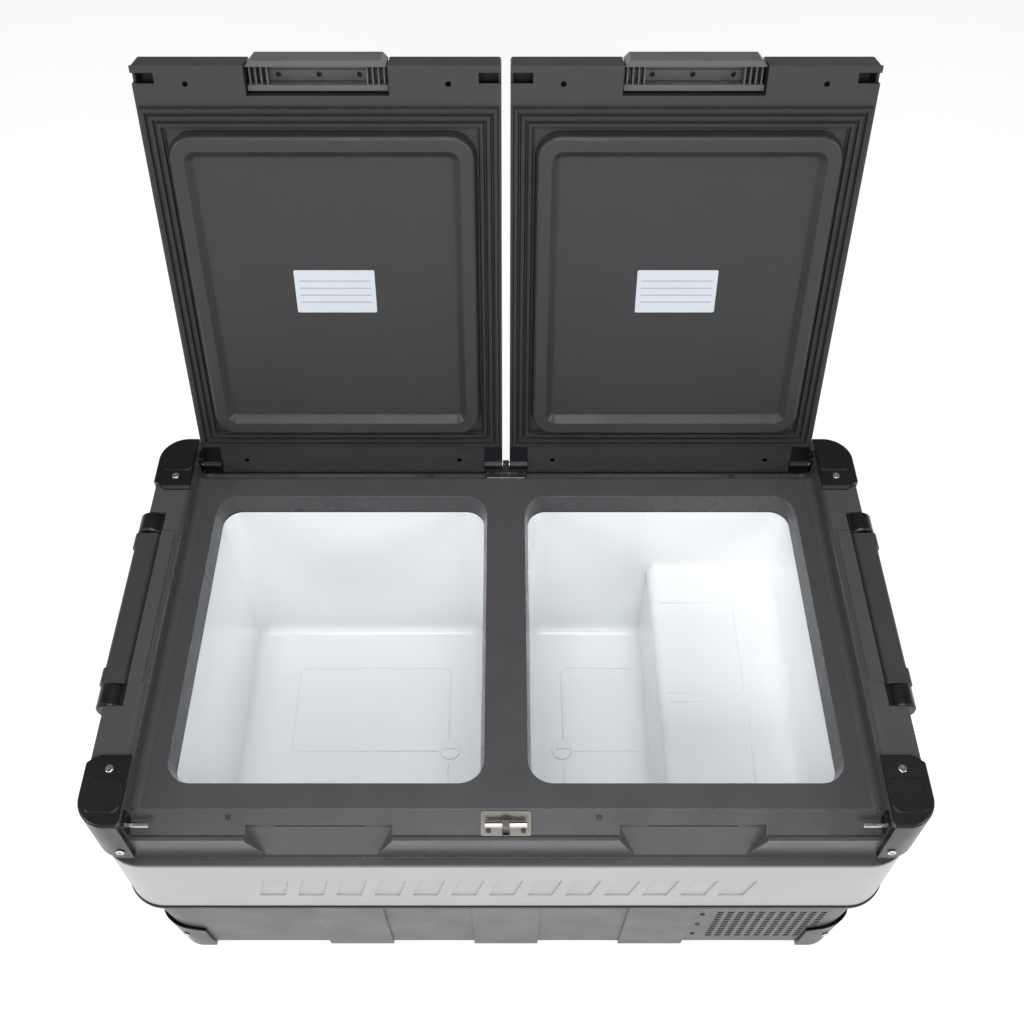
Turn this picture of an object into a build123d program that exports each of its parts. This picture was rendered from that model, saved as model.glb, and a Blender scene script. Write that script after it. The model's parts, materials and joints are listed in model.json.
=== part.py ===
from build123d import *
from math import atan2, cos, degrees, radians, sin, tan
import os

os.makedirs("parts", exist_ok=True)

# Frame: X along the length, Y from the front to the hinge side, Z up.
# The origin is on the floor, under the middle of the cabinet.

# --- Overall sizes ---
body_length = 880.0  # over the corner guards
body_depth = 526.0  # over the corner guards
body_height = 436.0  # floor to the top of the corner guards

# --- Screws: shanks and their holes, radii ---
screw_shank = 1.8
screw_hole = 1.9
screw_length = 9.0
plate_screw_shank = 1.3
plate_screw_hole = 1.4
plate_screw_length = 5.0

# --- Walls and fits ---
wall = 4.0
thin_wall = 1.5
fit_gap = 0.3  # between curved faces of pieces in the same body
pin_fit = 0.05  # radial, pin in bore

# --- Levels ---
foot_height = 8.0
base_bottom = foot_height
base_top = 217.0
trim_height = 4.0
trim_proud = 1.5  # past the band above it
band_height = 117.0
flange_height = 5.0
guard_skirt = 79.0  # height of a top corner guard
guard_length = 82.0  # along each rail
rail_drop = 5.0  # rails lie this far under the guards' top
well_depth = 33.0  # well floor below the rails
liner_floor = 105.0
hump_height = 151.0  # compressor hump above the liner floor
opening_depth = 24.0  # height of the sloped band round each opening

band_bottom = base_top + trim_height
band_top = band_bottom + band_height
flange_top = band_top + flange_height
rail_top = body_height - rail_drop
well_floor = rail_top - well_depth
sleeve_bottom = well_floor - opening_depth
seal_height = 3.0
liner_top = sleeve_bottom - seal_height
hump_top = liner_floor + hump_height

# --- Plan sizes ---
guard_wall_x = 3.0
guard_wall_y = 6.5
guard_radius = 34.0
frame_half_x = body_length / 2 - guard_wall_x
frame_half_y = body_depth / 2 - guard_wall_y
frame_radius = 29.0
band_proud = 3.0  # the band stands this far in front of the guards
band_half_x = body_length / 2
band_half_y = body_depth / 2 + band_proud
band_radius = 48.0
base_inset_x = 2.0
base_inset_y = 11.7
base_half_x = band_half_x - base_inset_x
base_half_y = band_half_y - base_inset_y
base_radius = 44.0
base_draft = 5.0
rail_width = 43.0
well_half_x = frame_half_x - rail_width
divider_width = 47.0
side_ledge = 28.0  # well floor between an opening and a rail
opening_half_y = 197.0
opening_radius = 28.0
opening_slope = 10.0

# --- Front and rear edges of the top frame ---
ridge_y = 226.0
lip_thickness = 4.5
lip_drop = 11.0  # top of the lip below the well floor
gutter_drop = 15.0

# --- Hinges ---
hinge_y = 246.3
hinge_rise = 6.0  # hinge axis above the well floor
hinge_z = well_floor + hinge_rise
open_angle = 104.0
pin_radius = 3.0
pin_reach = 21.0
plate_thickness = 1.8
knuckle_radius = 6.0

# --- Lids ---
lid_gap = 9.6  # between the two lids
lid_side_gap = 3.2  # beside a rail
lid_overhang = 12.7  # past the hinge pins, at both ends
lid_thickness = 34.0
lid_skin = 2.5
panel_height = 15.0
gasket_height = 5.4
gasket_width = 23.0
strip_depth = 42.0  # plain strips at the front and rear of the underside

lid_width = well_half_x - lid_side_gap - lid_gap / 2
lid_center_x = lid_gap / 2 + lid_width / 2
lid_end = 2 * hinge_y + lid_overhang
lid_length = lid_end + lid_overhang
lid_middle = lid_end - lid_length / 2

# --- Latches ---
latch_width = 150.0
latch_depth = 31.0
paddle_proud = 4.5
paddle_gap = 1.2
latch_pin_radius = 2.5

# --- Handles ---
handle_y = 12.0  # middle of each handle
handle_length = 208.0
hub_length = 28.0
hub_radius = 15.5
handle_axis_out = 3.0  # axis inside the frame's end face
handle_drop = 52.0
recess_depth = 20.5
stub_radius = 5.0

sides = {"left": -1, "right": 1}
ends = {"front": -1, "rear": 1}


def save(piece, name):
    piece.label = name
    export_step(piece, f"parts/{name}.step")


def rounded_block(size_x, size_y, radius, bottom, top, draft=0.0, at=(0, 0)):
    """A block with rounded corners that narrows downwards from its top."""
    with BuildPart() as block:
        with BuildSketch(Plane.XY.offset(top)):
            with Locations(at):
                RectangleRounded(size_x, size_y, radius)
        extrude(amount=bottom - top, taper=draft)
    return block.part


def plain_block(x0, x1, y0, y1, z0, z1):
    """A box between two corners."""
    with BuildPart() as block:
        with Locations(((x0 + x1) / 2, (y0 + y1) / 2, (z0 + z1) / 2)):
            Box(abs(x1 - x0), abs(y1 - y0), abs(z1 - z0))
    return block.part


def profile_along_x(points, x0, x1):
    """A prism along X from a closed outline in Y and Z."""
    with BuildPart() as prism:
        with BuildSketch(Plane.YZ.offset(x0)):
            with BuildLine():
                Polyline(*points, close=True)
            make_face()
        extrude(amount=x1 - x0)
    return prism.part


def screw_group(planes, head_radius, head_height, shank_radius, shank_length):
    """Identical dome-head screws with a cross recess, one at each plane."""
    slot = head_radius * 1.1
    with BuildPart() as group:
        for plane in planes:
            with BuildSketch(plane):
                Circle(head_radius)
            extrude(amount=head_height)
        fillet(group.edges().filter_by(GeomType.CIRCLE).group_by(SortBy.RADIUS)[-1], head_height * 0.45)
        for plane in planes:
            with BuildSketch(plane):
                Circle(shank_radius)
            extrude(amount=-shank_length)
            with BuildSketch(plane.offset(head_height)):
                Rectangle(slot, slot * 0.22)
                Rectangle(slot * 0.22, slot)
            extrude(amount=-head_height * 0.6, mode=Mode.SUBTRACT)
    return group.part


def moved(plane, x, y, lift=0.0):
    """The same plane with its origin at a local place."""
    origin = plane.from_local_coords((x, y, lift))
    return Plane(origin=origin, x_dir=plane.x_dir, z_dir=plane.z_dir)


def pegs(planes, radius, up, down):
    """A straight round peg at each plane, from below it to above it."""
    with BuildPart() as group:
        for plane in planes:
            with BuildSketch(plane.offset(-down)):
                Circle(radius)
            extrude(amount=up + down)
    return group.part


# --- Lower housing ---
def base_block(grow, bottom, top):
    """The lower housing's outline, grown by a wall, between two levels."""
    inset = (base_top - top) * tan(radians(base_draft))
    size_x = 2 * (base_half_x + grow - inset)
    size_y = 2 * (base_half_y + grow - inset)
    return rounded_block(size_x, size_y, base_radius + grow - inset, bottom, top, base_draft)


def base_face(z, end):
    """A plane on the housing's front or rear face, at one level."""
    y = base_half_y - (base_top - z) * tan(radians(base_draft))
    tilt = radians(base_draft)
    return Plane(origin=(0, end * y, z), x_dir=(-end, 0, 0), z_dir=(0, end * cos(tilt), -sin(tilt)))


def base_end_face(z):
    """A plane on the housing's right-hand end, at one level."""
    x = base_half_x - (base_top - z) * tan(radians(base_draft))
    tilt = radians(base_draft)
    return Plane(origin=(x, 0, z), x_dir=(0, 1, 0), z_dir=(cos(tilt), 0, -sin(tilt)))


def base_corner_face(side, end):
    """A plane on the housing's rounded corner, where a foot guard is screwed on."""
    radius = base_radius - (base_top - foot_screw_z) * tan(radians(base_draft))
    turn = radians(foot_screw_turn)
    tilt = radians(base_draft)
    x = side * (base_half_x - base_radius + radius * sin(turn))
    y = end * (base_half_y - base_radius + radius * cos(turn))
    out = (side * sin(turn) * cos(tilt), end * cos(turn) * cos(tilt), -sin(tilt))
    return Plane(origin=(x, y, foot_screw_z), x_dir=(end * cos(turn), -side * sin(turn), 0), z_dir=out)


rib_width = 82.0
rib_pitch = 187.0
rib_proud = 3.0
vent_width = 165.0
vent_height = 136.0
vent_x = 309.5
vent_z = 95.5
vent_plate = 2.0
vent_slot = (7.4, 7.4)
vent_pitch = (12.5, 10.9)
vent_count = (11, 11)
vent_slots_x = 12.3  # the slots sit this far right of the plate's middle
vent_screw_x = 71.0  # screws, left of the plate's middle
vent_screw_pitch = 46.5
fan_size = 120.0
fan_y = 20.0
fan_z = base_bottom + wall + fan_size / 2
drain_x = 76.0
drain_y = -11.0
drain_radius = 10.0
drain_tube_wall = 2.0
foot_x = 340.0
foot_y = 175.0
foot_radius = 20.0
foot_hole = 3.0
socket_z = 90.0
dc_socket_y = 112.0
ac_socket_y = 156.0
socket_depth = 14.0
socket_hole = 11.0
ac_hole = (27.0, 20.0)
end_grille = (132.0, 124.0)
end_grille_plate = 2.5
end_window = 108.0
end_screw = (60.0, 56.0)


def vent_screw_planes():
    face = base_face(vent_z, -1)
    return [moved(face, vent_x - vent_screw_x, step * vent_screw_pitch) for step in (-1, 0, 1)]


def end_screw_planes():
    planes = []
    for y in (-end_screw[0], end_screw[0]):
        for z in (-end_screw[1], end_screw[1]):
            planes.append(moved(base_end_face(fan_z), fan_y + y, z, end_grille_plate))
    return planes


def build_base_shell():
    outer = base_block(0, base_bottom, base_top)
    ribs = base_block(rib_proud, base_bottom, base_top)
    inner = base_block(-wall, base_bottom + wall, base_top)
    height = base_top - base_bottom
    with BuildPart() as places:
        with Locations((0, 0, base_bottom + height / 2)):
            with GridLocations(rib_pitch, body_depth, 3, 2):
                Box(rib_width, body_depth - fan_size, height)
    with BuildPart() as rib_part:
        add(ribs)
        add(places.part, mode=Mode.INTERSECT)
    with BuildPart() as shell:
        add(outer)
        fillet(shell.faces().sort_by(Axis.Z)[0].edges(), 6.0)
        add(rib_part.part)
        add(inner, mode=Mode.SUBTRACT)
        # the vent plate's pocket and the window behind it
        with BuildSketch(base_face(vent_z, -1)):
            with Locations((vent_x, 0)):
                Rectangle(vent_width, vent_height)
        extrude(amount=-vent_plate, mode=Mode.SUBTRACT)
        with BuildSketch(base_face(vent_z, -1)):
            with Locations((vent_x + vent_slots_x, 0)):
                Rectangle(vent_pitch[0] * vent_count[0], vent_pitch[1] * vent_count[1])
        extrude(amount=-2 * wall, mode=Mode.SUBTRACT)
        # the fan's window and the sockets' holes in the right-hand end
        with BuildSketch(base_end_face(fan_z)):
            with Locations((fan_y, 0)):
                Rectangle(end_window, end_window)
        extrude(amount=-2 * wall, mode=Mode.SUBTRACT)
        with BuildSketch(base_end_face(socket_z)):
            with Locations((dc_socket_y, 0)):
                Circle(socket_hole)
            with Locations((ac_socket_y, 0)):
                Rectangle(*ac_hole)
        extrude(amount=-2 * wall, mode=Mode.SUBTRACT)
        # drain outlets and the screw holes of the feet
        with BuildSketch(Plane.XY.offset(base_bottom - 1)):
            with Locations((-drain_x, drain_y), (drain_x, drain_y)):
                Circle(drain_radius + drain_tube_wall + fit_gap)
            with GridLocations(2 * foot_x, 2 * foot_y, 2, 2):
                Circle(foot_hole)
        extrude(amount=wall + 2, mode=Mode.SUBTRACT)
        add(pegs(vent_screw_planes() + end_screw_planes(), plate_screw_hole, 0, 2 * wall), mode=Mode.SUBTRACT)
        feet = [base_corner_face(side, end) for side in sides.values() for end in ends.values()]
        add(pegs(feet, screw_hole, wall, 2 * wall), mode=Mode.SUBTRACT)
    return shell.part


def build_vent_grille_front():
    with BuildPart() as grille:
        with BuildSketch(base_face(vent_z, -1).offset(-vent_plate)):
            with Locations((vent_x, 0)):
                Rectangle(vent_width - fit_gap, vent_height - fit_gap)
            with Locations((vent_x + vent_slots_x, 0)):
                with GridLocations(*vent_pitch, *vent_count):
                    Rectangle(*vent_slot, mode=Mode.SUBTRACT)
        extrude(amount=vent_plate)
        add(pegs(vent_screw_planes(), plate_screw_hole, 1, 2 * wall), mode=Mode.SUBTRACT)
    return grille.part


def build_vent_grille_end():
    with BuildPart() as grille:
        with BuildSketch(base_end_face(fan_z)):
            with Locations((fan_y, 0)):
                RectangleRounded(*end_grille, 8)
                with GridLocations(0, 10, 1, 10):
                    SlotOverall(end_window - 4, 5.5, mode=Mode.SUBTRACT)
                Rectangle(4, end_window)
        extrude(amount=end_grille_plate)
        fillet(grille.faces().sort_by(Axis.X)[-1].outer_wire().edges(), 1.0)
        add(pegs(end_screw_planes(), plate_screw_hole, 1, 2 * wall), mode=Mode.SUBTRACT)
    return grille.part


def build_lower_trim():
    outer = rounded_block(
        2 * (band_half_x + trim_proud),
        2 * (band_half_y + trim_proud),
        band_radius + trim_proud,
        base_top,
        band_bottom,
    )
    inner = base_block(-wall, base_top - trim_height, base_top + trim_height * 2)
    with BuildPart() as trim:
        add(outer)
        add(inner, mode=Mode.SUBTRACT)
    return trim.part


band_edge_radius = 2.5
groove_count = 13
groove_pitch = 43.0
groove_width = 28.0
groove_height = 44.0
groove_slant = 5.0
groove_depth = 1.4
groove_z = band_bottom + 56.0


def build_side_band():
    outer = rounded_block(2 * band_half_x, 2 * band_half_y, band_radius, band_bottom, band_top)
    inner = rounded_block(
        2 * (band_half_x - wall),
        2 * (band_half_y - wall),
        band_radius - wall,
        band_bottom,
        band_top,
    )
    with BuildPart() as band:
        add(outer)
        fillet(band.faces().sort_by(Axis.Z)[0].edges(), band_edge_radius)
        add(inner, mode=Mode.SUBTRACT)
        # a plain row of slanted grooves along the front
        with BuildSketch(Plane.XZ.offset(band_half_y)):
            for step in range(groove_count):
                x = (step - (groove_count - 1) / 2) * groove_pitch
                with BuildLine():
                    Polyline(
                        (x - groove_width / 2 - groove_slant, groove_z - groove_height / 2),
                        (x + groove_width / 2 - groove_slant, groove_z - groove_height / 2),
                        (x + groove_width / 2 + groove_slant, groove_z + groove_height / 2),
                        (x - groove_width / 2 + groove_slant, groove_z + groove_height / 2),
                        close=True,
                    )
                make_face()
        extrude(amount=-groove_depth, mode=Mode.SUBTRACT)
        # the control panel's window in the right-hand end
        with BuildSketch(Plane.YZ.offset(band_half_x - 2 * wall)):
            with Locations((panel_y, panel_z)):
                Rectangle(panel_size[0] - 8, panel_size[1] - 8)
        extrude(amount=3 * wall, mode=Mode.SUBTRACT)
    return band.part


# --- Control panel, in the band's right-hand end ---
panel_y = -120.0
panel_z = band_bottom + band_height / 2
panel_size = (150.0, 62.0)
panel_proud = 2.0
button_radius = 6.0
button_pitch = 24.0
button_travel = 1.2
button_gap = 0.3
display_size = (46.0, 22.0)
button_names = ("power", "set", "minus", "plus")


def button_places():
    return [(panel_y - 10 + button_pitch * step, panel_z - 16) for step in range(-2, 2)]


def build_control_bezel():
    with BuildPart() as bezel:
        with BuildSketch(Plane.YZ.offset(band_half_x)):
            with Locations((panel_y, panel_z)):
                RectangleRounded(*panel_size, 8)
        extrude(amount=panel_proud)
        fillet(bezel.faces().sort_by(Axis.X)[-1].edges(), 1.2)
        with BuildSketch(Plane.YZ.offset(band_half_x - wall)):
            with Locations((panel_y, panel_z)):
                Rectangle(panel_size[0] - 9, panel_size[1] - 9)
        extrude(amount=wall)
        with BuildSketch(Plane.YZ.offset(band_half_x + panel_proud)):
            with Locations((panel_y, panel_z + 12)):
                RectangleRounded(*display_size, 2)
        extrude(amount=-1.2, mode=Mode.SUBTRACT)
        with BuildSketch(Plane.YZ.offset(band_half_x + panel_proud)):
            with Locations(*button_places()):
                Circle(button_radius + button_gap)
        extrude(amount=-(panel_proud + wall - 1.5), mode=Mode.SUBTRACT)
    return bezel.part


def build_display_window():
    with BuildPart() as window:
        with BuildSketch(Plane.YZ.offset(band_half_x + panel_proud - 1.2)):
            with Locations((panel_y, panel_z + 12)):
                RectangleRounded(display_size[0] - 0.4, display_size[1] - 0.4, 2)
        extrude(amount=1.2)
    return window.part


def build_button(place):
    with BuildPart() as button:
        with BuildSketch(Plane.YZ.offset(band_half_x - wall + 1.5 + button_travel + 0.3)):
            with Locations(place):
                Circle(button_radius)
        extrude(amount=wall - 1.5 - 0.3 + panel_proud + 0.8 - button_travel + 0.6)
        fillet(button.faces().sort_by(Axis.X)[-1].edges(), 0.8)
    return button.part


def build_power_socket_dc():
    plane = base_end_face(socket_z)
    with BuildPart() as socket:
        with BuildSketch(plane):
            with Locations((dc_socket_y, 0)):
                Circle(socket_hole + 4)
        extrude(amount=2.0)
        with BuildSketch(plane):
            with Locations((dc_socket_y, 0)):
                Circle(socket_hole - fit_gap)
        extrude(amount=-socket_depth)
        with BuildSketch(plane.offset(2.0)):
            with Locations((dc_socket_y, 0)):
                Circle(socket_hole - 3)
        extrude(amount=-socket_depth, mode=Mode.SUBTRACT)
        with BuildSketch(plane.offset(2.0 - socket_depth)):
            with Locations((dc_socket_y - 3.5, 0), (dc_socket_y + 3.5, 0)):
                Circle(1.5)
        extrude(amount=socket_depth - 5)
    return socket.part


def build_ac_inlet():
    plane = base_end_face(socket_z)
    with BuildPart() as inlet:
        with BuildSketch(plane):
            with Locations((ac_socket_y, 0)):
                RectangleRounded(ac_hole[0] + 7, ac_hole[1] + 7, 3)
        extrude(amount=2.0)
        with BuildSketch(plane):
            with Locations((ac_socket_y, 0)):
                Rectangle(ac_hole[0] - fit_gap, ac_hole[1] - fit_gap)
        extrude(amount=-socket_depth)
        with BuildSketch(plane.offset(2.0)):
            with Locations((ac_socket_y, 0)):
                Rectangle(ac_hole[0] - 5, ac_hole[1] - 6)
        extrude(amount=-socket_depth, mode=Mode.SUBTRACT)
        with BuildSketch(plane.offset(2.0 - socket_depth)):
            with Locations((ac_socket_y, 0)):
                with GridLocations(7, 0, 3, 1):
                    Rectangle(1.6, 4)
        extrude(amount=socket_depth - 5)
    return inlet.part


# --- Top frame ---
opening_width = well_half_x - side_ledge - divider_width / 2
opening_center_x = divider_width / 2 + opening_width / 2
lip_top = well_floor - lip_drop
gutter = well_floor - gutter_drop
gutter_y = frame_half_y - lip_thickness
pocket_width = 154.0
pocket_x = 197.0
pocket_y = {"front": 240.0, "rear": frame_half_y - 2.5}  # a full recess, and a shallow one
pocket_back = {"front": well_floor - 14.0, "rear": flange_top + 16.0}  # top of the sloping back
pocket_floor = flange_top + 6.0
pocket_taper = 18.0  # each side moves in by this from the top to the bottom
catch_slot = (94.0, 3.5)
catch_depth = 8.0
rail_edge_radius = 8.0
handle_axis_x = frame_half_x - handle_axis_out
handle_axis_z = rail_top - hub_radius + 1.5
recess_x = frame_half_x - recess_depth
recess_floor = flange_top + 8.0
strip_width = 16.5
strip_rise = 2.0
rail_foot_radius = 8.0
hub_gap = 2.0


def opening_block(side, grow, bottom, top):
    """The sloped opening over one compartment."""
    inset = (well_floor - top) * tan(radians(opening_slope))
    return rounded_block(
        opening_width + 2 * (grow - inset),
        2 * (opening_half_y + grow - inset),
        opening_radius + grow - inset,
        bottom,
        top,
        opening_slope,
        (side * opening_center_x, 0),
    )


def mirrored_y(points, end):
    return [(end * y, z) for y, z in points]


def roof_cavity():
    """The hollow under the well floor, beside the openings' sleeves."""
    margin = 2 * wall
    x = well_half_x - margin
    y = ridge_y - margin
    with BuildPart() as cavity:
        add(plain_block(-x, x, -y, y, sleeve_bottom, well_floor - wall))
        for side in sides.values():
            add(opening_block(side, wall, sleeve_bottom, well_floor), mode=Mode.SUBTRACT)
    return cavity.part


def latch_pocket(side, name):
    """The recess in the front or rear edge: a sloping back between tapered sides."""
    end = ends[name]
    deep = pocket_y[name]
    back = pocket_back[name]
    profile = [
        (deep, body_height),
        (deep, back),
        (frame_half_y + 0.5, pocket_floor),
        (body_depth, pocket_floor),
        (body_depth, body_height),
    ]
    x = side * pocket_x
    half = pocket_width / 2
    prism = profile_along_x(mirrored_y(profile, end), x - half, x + half)
    with BuildPart() as pocket:
        with BuildSketch(Plane.XZ):
            with BuildLine():
                Polyline(
                    (x - half, body_height),
                    (x - half, back),
                    (x - half + pocket_taper, pocket_floor),
                    (x + half - pocket_taper, pocket_floor),
                    (x + half, back),
                    (x + half, body_height),
                    close=True,
                )
            make_face()
        extrude(amount=body_depth, both=True)
        add(prism, mode=Mode.INTERSECT)
        if name == "front":
            slot_z = back + 0.5
            near = x - catch_slot[0] / 2
            far = x + catch_slot[0] / 2
            add(plain_block(near, far, end * (deep - catch_depth), end * deep, slot_z, slot_z + catch_slot[1]))
    return pocket.part


def rail_edge_cut(side):
    """What is taken off a rail's inner top edge, between the corner guards, to round it."""
    near = body_depth / 2 - guard_length
    x = side * well_half_x
    centre = (side * (well_half_x + rail_edge_radius), rail_top - rail_edge_radius)
    with BuildPart() as cut:
        with BuildSketch(Plane.XZ):
            with Locations((x + side * rail_edge_radius / 2, rail_top - rail_edge_radius / 2)):
                Rectangle(rail_edge_radius, rail_edge_radius)
            with Locations(centre):
                Circle(rail_edge_radius, mode=Mode.SUBTRACT)
        extrude(amount=near, both=True)
    return cut.part


def build_top_frame():
    body = rounded_block(2 * frame_half_x, 2 * frame_half_y, frame_radius, band_top, rail_top)
    flange = rounded_block(2 * band_half_x, 2 * band_half_y, band_radius, band_top, flange_top)
    skirt_cavity = rounded_block(
        2 * (frame_half_x - wall),
        2 * (frame_half_y - wall),
        frame_radius - wall,
        band_top,
        recess_floor - wall,
    )
    edge_cut = [
        (ridge_y, well_floor),
        (gutter_y, gutter),
        (gutter_y, lip_top),
        (body_depth, lip_top),
        (body_depth, body_height),
        (ridge_y, body_height),
    ]
    with BuildPart() as frame:
        add(body)
        # the well between the rails, open at the front and rear
        with Locations((0, 0, (well_floor + body_height) / 2)):
            Box(2 * well_half_x, body_depth, body_height - well_floor, mode=Mode.SUBTRACT)
        level = (well_floor - 0.1, well_floor + 0.1)
        corners = frame.edges().filter_by(Axis.Y).filter_by_position(Axis.Z, *level)
        fillet(corners, rail_foot_radius)
        add(flange)
        for end in ends.values():
            cut = profile_along_x(mirrored_y(edge_cut, end), -well_half_x, well_half_x)
            add(cut, mode=Mode.SUBTRACT)
        # hollow underside: skirt, shoulder, well floor and rails
        add(skirt_cavity, mode=Mode.SUBTRACT)
        shoulder_x = recess_x - wall
        add(
            plain_block(-shoulder_x, shoulder_x, -ridge_y, ridge_y, band_top, sleeve_bottom),
            mode=Mode.SUBTRACT,
        )
        add(roof_cavity(), mode=Mode.SUBTRACT)
        rail_end = frame_half_y - frame_radius
        for side in sides.values():
            near = side * (well_half_x + wall)
            far = side * (recess_x - wall)
            cut = plain_block(near, far, -rail_end, rail_end, band_top, rail_top - wall)
            add(cut, mode=Mode.SUBTRACT)
        for side in sides.values():
            add(opening_block(side, 0, sleeve_bottom, well_floor), mode=Mode.SUBTRACT)
        # latch pockets and the rails' rounded inner edges
        for side in sides.values():
            for name in ends:
                add(latch_pocket(side, name), mode=Mode.SUBTRACT)
            add(rail_edge_cut(side), mode=Mode.SUBTRACT)
        # handle recesses and the raised strips beside them
        half = handle_length / 2 + hub_gap + hub_length
        for side in sides.values():
            cut = plain_block(
                side * recess_x,
                side * body_length,
                handle_y - half,
                handle_y + half,
                recess_floor,
                body_height,
            )
            add(cut, mode=Mode.SUBTRACT)
        with BuildSketch(Plane.XY.offset(rail_top)):
            with Locations((0, handle_y)):
                with GridLocations(2 * (recess_x - strip_width / 2), 0, 2, 1):
                    Rectangle(strip_width, handle_length)
        extrude(amount=strip_rise)
        add(pegs(guard_screw_planes(), screw_hole, 0, screw_length + 1), mode=Mode.SUBTRACT)
        small = corner_screw_planes() + centre_screw_planes() + frame_screw_planes()
        add(pegs(small, plate_screw_hole, 0, plate_screw_length + 1), mode=Mode.SUBTRACT)
    return frame.part


# --- Corner guards ---
guard_screw_x = 413.0
guard_screw_y = 199.0
guard_face_screw_x = 405.0
guard_face_screw_z = body_height - 62.0
pad_rise = 0.8
pad_size = (36.0, 38.0)
pad_at = (19.5, 47.0)  # from the rail's inner edge and the guard's inner end
guard_cut = (15.0, 11.0)
guard_end_slope = 3.0


def build_corner_guard(side, end):
    low = body_height - guard_skirt
    outer = rounded_block(body_length, body_depth, guard_radius, low, body_height)
    inner = rounded_block(2 * frame_half_x, 2 * frame_half_y, frame_radius, low, rail_top)
    near_y = body_depth / 2 - guard_length
    half = body_depth / 2
    with BuildPart() as guard:
        add(outer)
        fillet(guard.faces().sort_by(Axis.Z)[-1].edges(), 3.0)
        add(inner, mode=Mode.SUBTRACT)
        corner = plain_block(
            side * well_half_x,
            side * body_length,
            end * near_y,
            end * body_depth,
            0,
            body_height + 1,
        )
        add(corner, mode=Mode.INTERSECT)
        # the end over the rail: a cut outer corner and a sloping top edge
        with BuildSketch():
            with BuildLine():
                Polyline(
                    (side * (body_length / 2 - guard_cut[0]), end * (near_y - 1)),
                    (side * (body_length / 2 - guard_cut[0]), end * near_y),
                    (side * body_length / 2, end * (near_y + guard_cut[1])),
                    (side * (body_length / 2 + 1), end * (near_y - 1)),
                    close=True,
                )
            make_face()
        extrude(amount=body_height + 1, mode=Mode.SUBTRACT)
        rim = guard.edges().filter_by_position(Axis.Z, body_height - 0.1, body_height + 0.1)
        rim = rim.filter_by(Axis.X).sort_by(Axis.Y)
        chamfer(rim[0] if end > 0 else rim[-1], guard_end_slope)
        # raised pad on the top
        with BuildSketch(Plane.XY.offset(body_height)):
            with Locations((side * (well_half_x + pad_at[0]), end * (near_y + pad_at[1]))):
                RectangleRounded(*pad_size, 8)
        extrude(amount=pad_rise)
        fillet(guard.faces().sort_by(Axis.Z)[-1].edges(), 0.5)
        # screw holes
        with BuildSketch(Plane.XY.offset(body_height)):
            with Locations((side * guard_screw_x, end * guard_screw_y)):
                Circle(screw_hole)
        extrude(amount=-rail_drop, mode=Mode.SUBTRACT)
        with BuildSketch(Plane.XZ.offset(-end * (half - guard_wall_y))):
            with Locations((side * guard_face_screw_x, guard_face_screw_z)):
                Circle(screw_hole)
        extrude(amount=-end * guard_wall_y, mode=Mode.SUBTRACT)
    return guard.part


foot_guard_wall = 4.5
foot_guard_height = 118.0
foot_guard_x = 378.0
foot_guard_y = 190.0
foot_guard_low = 4.0
foot_screw_z = 58.0
foot_screw_turn = 20.0  # degrees round the corner from the front or rear face


def build_foot_guard(side, end):
    outer = base_block(foot_guard_wall, foot_guard_low, foot_guard_height)
    inner = base_block(fit_gap, foot_guard_low + 3.5, foot_guard_height)
    with BuildPart() as guard:
        add(outer)
        fillet(guard.faces().sort_by(Axis.Z)[0].edges(), 3.0)
        add(inner, mode=Mode.SUBTRACT)
        corner = plain_block(
            side * foot_guard_x,
            side * body_length,
            end * foot_guard_y,
            end * body_depth,
            0,
            foot_guard_height,
        )
        add(corner, mode=Mode.INTERSECT)
        # the top edge falls away from the corner
        fall = Plane(
            origin=(side * foot_guard_x, end * foot_guard_y, foot_guard_height - 75.0),
            z_dir=(side * -0.62, end * -0.62, 1.0),
        )
        split(bisect_by=fall, keep=Keep.BOTTOM)
        hole = pegs([base_corner_face(side, end)], screw_hole, 2 * foot_guard_wall, 2 * foot_guard_wall)
        add(hole, mode=Mode.SUBTRACT)
    return guard.part


def build_rubber_feet():
    with BuildPart() as feet:
        with BuildSketch():
            with GridLocations(2 * foot_x, 2 * foot_y, 2, 2):
                Circle(foot_radius)
        extrude(amount=foot_height)
        fillet(feet.edges().filter_by(GeomType.CIRCLE).filter_by_position(Axis.Z, -0.1, 0.1), 2.0)
        with BuildSketch():
            with GridLocations(2 * foot_x, 2 * foot_y, 2, 2):
                Circle(foot_hole)
        extrude(amount=foot_height, mode=Mode.SUBTRACT)
    return feet.part


def guard_screw_planes():
    planes = []
    for side in sides.values():
        for end in ends.values():
            planes.append(Plane(origin=(side * guard_screw_x, end * guard_screw_y, body_height)))
            face_origin = (side * guard_face_screw_x, end * body_depth / 2, guard_face_screw_z)
            planes.append(Plane(origin=face_origin, z_dir=(0, end, 0)))
            planes.append(base_corner_face(side, end).offset(foot_guard_wall))
    return planes


# --- Hinges ---
slope_angle = degrees(atan2(gutter_drop, gutter_y - ridge_y))
corner_plate = (18.0, 26.0)
corner_plate_rise = 6.0  # middle of the plate above the hinge axis
corner_screw = (4.5, 8.0)
centre_plate = (53.0, 26.0)
centre_post = 7.6
centre_post_rise = 3.5
centre_pin_reach = 18.0
centre_screw = (18.5, 7.0)


def slope_plane(end):
    """The slope between the well floor and the gutter, at its middle."""
    y = (ridge_y + gutter_y) / 2
    z = (well_floor + gutter) / 2
    tilt = radians(slope_angle)
    return Plane(origin=(0, end * y, z), x_dir=(1, 0, 0), z_dir=(0, end * sin(tilt), cos(tilt)))


def corner_plate_plane(side, end):
    """The rail face that carries a corner hinge plate."""
    origin = (side * well_half_x, end * hinge_y, hinge_z + corner_plate_rise)
    return Plane(origin=origin, x_dir=(0, 1, 0), z_dir=(-side, 0, 0))


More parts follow.
